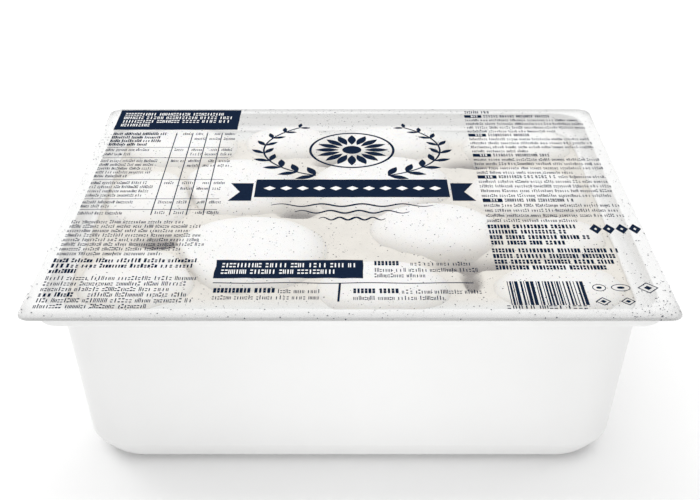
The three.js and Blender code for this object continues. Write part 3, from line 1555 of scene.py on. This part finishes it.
class Motifs:
    """Small printed motifs that follow a path, made with Geometry Nodes."""

    stand_off: float = 0.12

    def __init__(self) -> None:
        """Builds the tree once for all motifs."""
        sockets = dict.fromkeys(("Lean", "Motif Scale", "Tip Scale"), "Float")
        self.recipe = GeometryRecipe("motifs_on_path", {"Motif": "Object", "Count": "Int", **sockets})
        graph, inputs = self.recipe.graph, self.recipe.inputs
        tangent = graph.result("GeometryNodeInputTangent")
        along = graph.result("FunctionNodeAlignRotationToVector", {"axis": "X"}, Vector=tangent)
        lean = graph.result("FunctionNodeAxisAngleToRotation", Axis=(0.0, 0.0, 1.0), Angle=inputs["Lean"])
        share = graph.add("GeometryNodeSplineParameter").outputs["Factor"]
        shrink = graph.result(
            "ShaderNodeMapRange", Value=share, To_Min=inputs["Motif Scale"], To_Max=inputs["Tip Scale"]
        )
        self.recipe.finish(
            Points=self.recipe.spaced("COUNT", Count=inputs["Count"]),
            Instance=graph.add("GeometryNodeObjectInfo", Object=inputs["Motif"]).outputs["Geometry"],
            Rotation=graph.result("FunctionNodeRotateRotation", Rotation=along, Rotate_By=lean),
            Scale=graph.vector(shrink, shrink, 1.0),
        )

    def build(
        self,
        name: str,
        path: Sequence[Vector],
        motif: Sequence[Vector],
        surface: PrintSurface,
        count: int,
        leans: Sequence[float],
        tip_scale: float = 1.0,
    ) -> Object:
        """Makes a row of motifs along a path.

        Args:
            name: The piece's name.
            path: The points that the row follows; it closes if it ends where it starts.
            motif: The outline of one motif, which points along X.
            surface: What it is printed on, and with what.
            count: How many motifs the row has.
            leans: The turns of the motifs from the path; there is a row for each.
            tip_scale: The size of the last motif, as a share of the first.

        Returns:
            The finished piece.
        """
        shapes = FlatShapes(replace(surface, level=0.0))
        shapes.plate([Vector((point.x + self.stand_off, point.y)) for point in motif])
        stamp = bpy.data.objects.new("stamp", shapes.mesh())
        shape = bmesh.new()
        closed = path[0] == path[-1]
        spots = path[:-1] if closed else path
        edges = [(i, i + 1) for i in range(len(spots) - 1)]
        if closed:
            edges.append((len(spots) - 1, 0))
        points = [Vector((point.x, point.y, surface.level)) for point in spots]
        for lean in leans:
            row = self.recipe.run(
                name,
                raw_mesh(points, edges),
                Motif=stamp,
                Count=count,
                Lean=lean,
                Motif_Scale=1.0,
                Tip_Scale=tip_scale,
                Material=surface.ink,
            )
            shape.from_mesh(row)
        bpy.data.objects.remove(stamp)
        mesh = bpy.data.meshes.new(name)
        shape.to_mesh(mesh)
        shape.free()
        return surface.settle(name, mesh)


@dataclass
class Print:
    """All that is printed on the film: panels, a table, small print, bars and an ornament."""

    level: float
    navy: Material
    white: Material
    relief: float = 0.03
    white_share: float = 0.7
    left: float = -66.6
    middle: float = -29.6
    right: float = 33.0
    column: float = 33.4
    axis: float = 0.5
    first_entry: float = 50.5
    entry_pitch: float = 13.52
    bold: Lettering = Lettering(0.76, 1.9, 0.44, 0.0)
    label: Lettering = Lettering(0.42, 1.5, 0.32, 0.7)
    label_bold: Lettering = Lettering(0.46, 1.7, 0.44, 0.5)
    note: Lettering = Lettering(0.55, 1.55, 0.29, 0.7)
    note_bold: Lettering = Lettering(0.69, 1.8, 0.39, 0.6)
    address: Lettering = Lettering(0.67, 1.7, 0.27, 0.7)
    middle_head: Lettering = Lettering(0.82, 1.95, 0.47, 0.0)
    middle_note: Lettering = Lettering(0.6, 1.65, 0.27, 0.75)
    entry_head: Lettering = Lettering(0.6, 1.65, 0.34, 0.0)
    fine: Lettering = Lettering(0.5, 1.5, 0.31, 0.75)
    tag: Lettering = Lettering(0.6, 1.2, 0.34, 0.0)
    shout: Lettering = Lettering(0.82, 1.85, 0.29, 0.0)
    bar_mark: Lettering = Lettering(1.0, 1.3, 0.25, 0.0)
    marks: MarkRows = field(default_factory=MarkRows)
    motifs: Motifs = field(default_factory=Motifs)

    @property
    def on_film(self) -> PrintSurface:
        """Gives the navy print on the film."""
        return PrintSurface(self.level, self.relief, self.navy)

    @property
    def on_panel(self) -> PrintSurface:
        """Gives the white print on a navy panel."""
        return PrintSurface(self.level + self.relief, self.relief * self.white_share, self.white)

    def build(self) -> None:
        """Makes every printed piece."""
        self.panels()
        self.table()
        self.left_notes()
        self.middle_notes()
        self.right_column()
        self.bars_and_symbols()
        self.ornament()

    def panels(self) -> None:
        """Makes the navy header panel and the lower banner, with white marks."""
        shapes = FlatShapes(self.on_film)
        shapes.rough_box(self.left, 40.8, -31.7, 55.2, seed=3, jag=0.06)
        shapes.rough_box(-30.1, -41.8, 2.9, -33.7, seed=4)
        shapes.build("print_panels")
        header = Paragraph(-65.0, 52.0, 2.65, (28.7, 31.1, 30.5, 9.0))
        banner = Paragraph(-28.7, -36.2, 2.9, (30.0, 25.4))
        self.marks.build("print_panel_marks", (header, banner), self.shout, self.on_panel, 11)

    def table(self) -> None:
        """Makes the table: its rules, its labels and its figures."""
        rules = (28.7, 21.9, 8.4, -2.7, -8.6)
        columns = (-48.4, -43.9, -39.8, -35.7)
        top, bottom, end = 38.5, -11.5, -32.6
        shapes = FlatShapes(self.on_film)
        for y in rules:
            shapes.box(self.left + 0.4, y - 0.1, end, y + 0.1)
        for x in columns:
            shapes.box(x - 0.13, bottom, x + 0.13, top)
        shapes.build("print_table_rules")
        head = Paragraph(-66.1, 37.8, 2.4, (14.8, 13.4, 13.9, 11.4))
        self.marks.build("print_table_head", (head,), self.label_bold, self.on_film, 21)
        labels = (
            Paragraph(-66.3, 27.0, 2.9, (11.8, 7.1)),
            Paragraph(-66.3, 19.8, 2.35, (15.0, 14.3, 14.8, 14.2, 8.4)),
            Paragraph(-66.3, 6.4, 2.4, (14.2, 16.8, 15.6, 14.0)),
            Paragraph(-66.3, -4.6, 2.2, (12.8, 6.9)),
            Paragraph(-66.3, -10.6, 2.2, (11.0,)),
        )
        self.marks.build("print_table_labels", labels, self.label, self.on_film, 22)
        figures = []
        for y, first, second in ((37.8, 2.4, 3.4), (27.0, 3.4, 2.9), (19.8, 3.4, 2.9), (6.4, 3.4, 3.3)):
            figures += self.figures(y, first)
            figures += [Paragraph(x, y - second, 1.0, (3.0,)) for x in (-43.0, -38.9, -34.9)]
        for y in (-4.6, -10.3):
            figures += self.figures(y, 3.4)
        self.marks.build("print_table_figures", figures, self.label, self.on_film, 23)

    def figures(self, y: float, first: float) -> list[Paragraph]:
        """Lists the figures at the top of one row of the table.

        Args:
            y: The row's level on the film.
            first: The width of its first figure.

        Returns:
            A short row of marks for each column.
        """
        places = ((-44.2 - first, first), (-43.0, 3.0), (-37.8, 1.7), (-34.9, 2.9))
        return [Paragraph(x, y, 1.0, (width,)) for x, width in places]

    def left_notes(self) -> None:
        """Makes the small print under the table."""
        notes = Paragraph(self.left - 0.3, -15.2, 2.23, (27.0, 31.3, 28.5, 31.7, 31.6, 33.0, 27.9, 23.6))
        self.marks.build("print_notes", (notes,), self.note, self.on_film, 31)
        origin = Paragraph(self.left - 0.4, -34.0, 2.4, (32.4, 31.7, 6.6))
        maker = Paragraph(self.left - 0.4, -48.9, 2.4, (9.5,))
        self.marks.build("print_notes_bold", (origin, maker), self.note_bold, self.on_film, 32)
        address = (
            Paragraph(self.left - 0.4, -41.9, 2.36, (33.2, 31.8, 27.7)),
            Paragraph(self.left + 10.2, -48.9, 2.36, (21.4,)),
            Paragraph(self.left - 0.4, -51.3, 2.36, (33.2, 25.6)),
        )
        self.marks.build("print_address", address, self.address, self.on_film, 33)

    def middle_notes(self) -> None:
        """Makes the rule under the banner and the notes round it."""
        shapes = FlatShapes(self.on_film)
        rule = [Vector((x, -43.9 + 0.12 * math.sin(x * 0.35))) for x in range(-30, 28)]
        shapes.stroke(rule, 0.32)
        shapes.stroke([Vector((-2.2, -44.0)), Vector((-2.5, -51.7))], 0.5)
        shapes.build("print_rule")
        heads = (
            Paragraph(self.middle, -47.2, 2.9, (13.3,)),
            Paragraph(5.4, -35.3, 2.9, (7.6,)),
            Paragraph(0.7, -47.4, 2.9, (9.8,)),
        )
        self.marks.build("print_middle_heads", heads, self.middle_head, self.on_film, 41)
        rows = (
            Paragraph(-15.7, -47.5, 2.9, (9.2,)),
            Paragraph(self.middle, -50.1, 2.9, (23.0,)),
            Paragraph(13.6, -35.5, 2.9, (15.0,)),
            Paragraph(5.4, -38.3, 2.45, (24.5, 11.2)),
            Paragraph(11.2, -47.7, 2.9, (17.2,)),
            Paragraph(0.7, -50.3, 2.9, (20.6,)),
        )
        self.marks.build("print_middle_notes", rows, self.middle_note, self.on_film, 42)

    def right_column(self) -> None:
        """Makes the five short entries with their tags, and the bold rows under them."""
        ends = ((19.0, 25.6), (11.4, 16.5), (15.0, 25.0), (14.6, 32.4), (17.0, 21.6))
        levels = [self.first_entry - number * self.entry_pitch for number in range(len(ends))]
        tags = FlatShapes(self.on_film)
        heads = [Paragraph(self.right + 0.3, 53.5, 2.7, (7.0,))]
        rows = []
        for y, (head, last) in zip(levels, ends):
            tags.box(self.right, y - 0.95, self.right + 4.9, y + 0.95)
            heads.append(Paragraph(self.right + 5.5, y, 2.7, (head,)))
            rows.append(Paragraph(self.right, y - 2.8, 2.7, (self.column, self.column, self.column, last)))
        rows.append(Paragraph(self.right + 20.9, levels[3], 2.7, (12.4,)))
        tags.build("print_tags")
        self.marks.build("print_entry_heads", heads, self.entry_head, self.on_film, 51)
        self.marks.build("print_entries", rows, self.fine, self.on_film, 52)
        weights = (
            Paragraph(self.right - 0.2, -17.6, 2.68, (20.9, 18.2, 23.3, 17.1)),
            Paragraph(self.right - 0.4, -29.4, 2.61, (28.9, 29.7, 28.3, 24.8)),
        )
        self.marks.build("print_bold_rows", weights, self.bold, self.on_film, 53)
        tag_marks = [Paragraph(self.right + 1.9, y, 2.7, (1.9,)) for y in levels]
        self.marks.build("print_tag_marks", tag_marks, self.tag, self.on_panel, 54)

    def bars_and_symbols(self) -> None:
        """Makes the field of plain upright bars, the four bold diamonds and the small symbols."""
        shapes = FlatShapes(self.on_film)
        draw = random.Random(6)
        x, end, bottom, top = 34.3, 50.4, -53.1, -43.2
        while x < end:
            width = draw.choice((0.2, 0.28, 0.45, 0.75))
            shapes.box(x, bottom, x + width, top)
            x += width + draw.choice((0.22, 0.3, 0.5))
        for number in range(4):
            centre = Vector((58.3 + number * 3.1, -18.7))
            shapes.hoop(ellipse(centre, 1.5, 2.5, 4), ellipse(centre, 0.38, 0.64, 4))
        for x, radius in ((54.1, 1.5), (58.8, 2.1)):
            centre = Vector((x, -45.9))
            shapes.hoop(ellipse(centre, radius, 1.45), ellipse(centre, radius - 0.2, 1.25))
            shapes.plate(ellipse(centre, radius * 0.4, 0.5, 16))
        for x, y, size in ((54.0, -51.6, 1.7), (59.3, -51.6, 1.6), (64.7, -46.0, 2.3)):
            centre = Vector((x, y))
            shapes.hoop(ellipse(centre, size, size, 4), ellipse(centre, size - 0.35, size - 0.35, 4))
            shapes.plate(ellipse(centre, size * 0.4, size * 0.4, 4))
        shapes.build("print_symbols")
        row = Paragraph(33.2, -54.0, 2.0, (17.0,))
        self.marks.build("print_bar_row", (row,), self.bar_mark, self.on_film, 62)

    def ornament(self) -> None:
        """Makes the central ornament: a rosette between leaf sprays over a ribbon and waves."""
        centre = Vector((self.axis, 27.0))
        boss, petal_root, ring_inner, ring_outer, stem_width, wave_width = 2.6, 3.4, 10.9, 11.6, 0.5, 0.75
        shapes = FlatShapes(self.on_film)
        shapes.plate(ellipse(centre, boss, boss, 32))
        outer, inner = (ellipse(centre, radius, radius, 72) for radius in (ring_outer, ring_inner))
        shapes.hoop(outer, inner)
        shapes.rough_box(-24.0, -1.8, 25.0, 8.4, seed=8, jag=0.05)
        tail = ((25.6, 6.2), (31.4, 6.2), (28.8, 1.2), (31.4, -3.8), (25.6, -3.8))
        for side in (-1, 1):
            shapes.plate([Vector((self.axis + side * (x - self.axis), y)) for x, y in tail])
        for number, half in enumerate((20.0, 14.0, 8.0)):
            shapes.stroke(self.wave(half, -6.2 - 3.6 * number), wave_width, taper=True)
        shapes.build("print_ornament")
        petal = self.leaf(length=6.4, width=2.3)
        circle = ellipse(centre, petal_root, petal_root, 64)
        path = [*circle, circle[0]]
        self.motifs.build("print_rosette", path, petal, self.on_film, count=16, leans=(-math.pi / 2,))
        leaf = self.leaf(length=5.6, width=2.1)
        for side, name in ((-1, "left"), (1, "right")):
            spray = [self.spray_point(side, step / 40) for step in range(41)]
            stem = FlatShapes(self.on_film)
            stem.stroke(spray, stem_width)
            stem.build(f"print_stem_{name}")
            piece, leans = f"print_spray_{name}", (0.75, -0.75)
            self.motifs.build(piece, spray, leaf, self.on_film, count=9, leans=leans, tip_scale=0.55)
        diamond = [Vector(point) for point in ((-1.5, 0.0), (0.0, -1.2), (1.5, 0.0), (0.0, 1.2))]
        ribbon = [Vector((-20.5, 3.3)), Vector((21.5, 3.3))]
        self.motifs.build("print_ribbon_marks", ribbon, diamond, self.on_panel, count=11, leans=(0.0,))

    def wave(self, half: float, y: float) -> list[Vector]:
        """Lists the points of a wavy line.

        Args:
            half: Half of its length.
            y: Its level on the film.

        Returns:
            The points from left to right.
        """
        height, steps, crest = 0.7, 30, 15
        return [
            Vector((self.axis + half * (i / steps - 1), y + height * math.sin(i * math.tau / crest)))
            for i in range(2 * steps + 1)
        ]

    def spray_point(self, side: int, share: float) -> Vector:
        """Gives a point of a leaf spray's stem.

        Args:
            side: -1 for the left spray, 1 for the right one.
            share: 0 at its foot, 1 at its tip.

        Returns:
            The point on the film.
        """
        turn = math.radians(-68 + 118 * share)
        reach = 19.5 * math.cos(turn) * (1.28 - 0.1 * share)
        return Vector((self.axis + side * reach, 28.0 + 18.5 * math.sin(turn)))

    def leaf(self, length: float, width: float, steps: int = 8) -> list[Vector]:
        """Lists the outline of a pointed leaf that grows along X from the origin.

        Args:
            length: How long it is.
            width: How wide it is.
            steps: The number of its facets on each side.

        Returns:
            Its points, back along one side and out along the other.
        """
        places = [(1, i) for i in reversed(range(steps))] + [(-1, i) for i in range(1, steps + 1)]
        return [
            Vector((length * i / steps, side * width / 2 * math.sin(math.pi * i / steps)))
            for side, i in places
        ]


@dataclass
class Speckles:
    """Fine ink specks all over the film, denser at two corners, scattered with Geometry Nodes."""

    film: Object
    level: float
    ink: Material
    density: float = 2100000.0
    size: float = 0.18
    seed: int = 5
    corners: tuple[tuple[float, float], ...] = ((67.5, -55.0), (-67.5, 34.0))
    corner_reach: float = 11.0
    clump_scale: float = 90.0
    clump_power: float = 2.2
    least_up: float = 0.25
    rarity: float = 4.0
    least_size: float = 0.25

    def density_at(self, recipe: GeometryRecipe) -> NodeSocket:
        """Adds the specks' density: in clumps, and more of them near the corners.

        Args:
            recipe: The tree that scatters them.

        Returns:
            The specks for each square metre.
        """
        graph = recipe.graph
        cloud = graph.result("ShaderNodeTexNoise", Scale=self.clump_scale, Detail=2.0)
        clumps = graph.math("POWER", cloud, self.clump_power)
        place = graph.result("GeometryNodeInputPosition")
        for x, y in self.corners:
            away = graph.add("ShaderNodeVectorMath", {"operation": "DISTANCE"})
            graph.feed(away, 0, place)
            graph.feed(away, 1, Vector((x, y, self.level)) * MM)
            span = {"Value": away.outputs["Value"], "From_Max": recipe.inputs["Corner Reach"]}
            near = graph.result("ShaderNodeMapRange", **span, To_Min=1.0, To_Max=0.0)
            clumps = graph.math("ADD", clumps, near)
        return graph.math("MULTIPLY", recipe.inputs["Density"], clumps)

    def build(self) -> None:
        """Makes the specks as one piece."""
        sockets = dict.fromkeys(("Density", "Speck Size", "Corner Reach"), "Float")
        recipe = GeometryRecipe("specks", {**sockets, "Seed": "Int"})
        graph, inputs = recipe.graph, recipe.inputs
        normal = graph.result("GeometryNodeInputNormal")
        up = graph.add("ShaderNodeSeparateXYZ", Vector=normal).outputs["Z"]
        spread = graph.add(
            "GeometryNodeDistributePointsOnFaces",
            Mesh=inputs["Geometry"],
            Selection=graph.math("GREATER_THAN", up, self.least_up),
            Density=self.density_at(recipe),
            Seed=inputs["Seed"],
        ).outputs
        draw = graph.add("FunctionNodeRandomValue", {"data_type": "FLOAT"}).outputs[1]
        rare = graph.math("POWER", draw, self.rarity)
        share = graph.math("ADD", graph.math("MULTIPLY", rare, 1 - self.least_size), self.least_size)
        recipe.finish(
            Points=spread["Points"],
            Instance=graph.result("GeometryNodeMeshCylinder", Vertices=5, Radius=1.0, Depth=0.2),
            Rotation=spread["Rotation"],
            Scale=graph.math("MULTIPLY", share, inputs["Speck Size"]),
        )
        mesh = recipe.run(
            "print_specks",
            self.film.data.copy(),
            Density=self.density,
            Speck_Size=self.size * MM,
            Corner_Reach=self.corner_reach * MM,
            Seed=self.seed,
            Material=self.ink,
        )
        settle(make_object("print_specks", mesh, self.ink), Slot.PRINT)


# ---- studio -----------------------------------------------------------------------------------


@dataclass(frozen=True)
class Softbox:
    """A rectangular soft light that faces a point of the pack."""

    name: str
    place: tuple[float, float, float]
    aim: tuple[float, float, float]
    width: float
    depth: float
    watts: float

    def build(self) -> None:
        """Hangs the light."""
        light = bpy.data.lights.new(self.name, "AREA")
        light.shape = "RECTANGLE"
        light.size = self.width * MM
        light.size_y = self.depth * MM
        light.energy = self.watts
        lamp = add_to_scene(self.name, light)
        lamp.location = Vector(self.place) * MM
        lamp.rotation_euler = (Vector(self.aim) * MM - lamp.location).to_track_quat("-Z", "Y").to_euler()
        lamp.visible_camera = False


@dataclass
class Studio:
    """A plain pale floor, soft light all round, and the camera."""

    pitch: float = math.radians(29)
    back: float = 265.7
    height: float = 177.5
    focal_pixels: float = 1178.0
    frame_pixels: float = 700.0
    sensor: float = 36.0
    surround: float = 0.73
    clip_start: float = 0.01
    floor_reach: float = 3000.0
    floor_level: float = -0.01
    softboxes: tuple[Softbox, ...] = (
        Softbox("overhead", (0.0, 120.0, 800.0), (0.0, 0.0, 0.0), 1800.0, 300.0, 4.0),
        Softbox("back_left", (-520.0, 400.0, 300.0), (0.0, 0.0, 40.0), 260.0, 260.0, 1.0),
        Softbox("front", (9.0, -103.0, 6.5), (9.0, -50.0, 4.0), 84.0, 14.0, 0.0074),
    )

    def floor(self) -> None:
        """Lays the floor."""
        made = bpy.data.materials.new("pale_floor")
        made.use_nodes = True
        shader = made.node_tree.nodes["Principled BSDF"]
        finish = {"Base Color": grey(1.0), "Roughness": 0.9, "Specular IOR Level": 0.0}
        for name, value in finish.items():
            shader.inputs[name].default_value = value
        reach = self.floor_reach
        points = [Vector((*spot, self.floor_level)) for spot in corners(-reach, -reach, reach, reach)]
        mesh = raw_mesh(points, faces=[(0, 1, 2, 3)])
        make_object("floor", mesh, made)

    def lights(self) -> None:
        """Sets an even pale surround and the softboxes."""
        world = bpy.data.worlds.new("surround")
        world.use_nodes = True
        background = world.node_tree.nodes["Background"]
        background.inputs["Color"].default_value = grey(1.0)
        background.inputs["Strength"].default_value = self.surround
        bpy.context.scene.world = world
        for softbox in self.softboxes:
            softbox.build()

    def camera(self) -> None:
        """Sets the camera in front of the pack, looking down on it."""
        data = bpy.data.cameras.new("camera")
        data.sensor_width = self.sensor
        data.lens = self.focal_pixels / self.frame_pixels * self.sensor
        data.clip_start = self.clip_start
        camera = add_to_scene("camera", data)
        camera.location = Vector((0.0, -self.back, self.height)) * MM
        camera.rotation_euler = (math.pi / 2 - self.pitch, 0.0, 0.0)
        bpy.context.scene.camera = camera

    def build(self) -> None:
        """Sets up the stage."""
        self.camera()
        self.floor()
        self.lights()
        bpy.context.scene.view_settings.view_transform = "Standard"


def main() -> None:
    """Builds the pack's looks round the frame."""
    logging.basicConfig(level=logging.INFO, format="%(name)s: %(message)s")
    Studio().build()
    low, high = cad_extent(Node.FILM)
    tray = Tray(half_x=high.x, half_y=high.y, top=high.z)
    tray.build(TrayPlastic("formed_white_sheet", (0.86, 0.86, 0.855), 0.38).material())
    lid = LidFilm(tray)
    film = lid.build(ClearFilm("clear_lidding_film", (1.0, 1.0, 1.0), 0.12).material())
    cheeses = Cheeses(tray, lid_underside=low.z)
    cheeses.build(FreshCheese("fresh_curd", (0.865, 0.861, 0.853), 0.4).material())
    LowerFill(tray, level=41.4).build(ShadedFilling("shaded_curd", (0.75, 0.714, 0.65), 0.55).material())
    navy = PrintInk("navy_ink", (0.009, 0.018, 0.042), 0.45).material()
    white = PrintInk("white_ink", (0.86, 0.86, 0.86), 0.5).material()
    Print(lid.level, navy, white).build()
    Speckles(film, lid.level, navy).build()


if __name__ == "__main__":
    main()
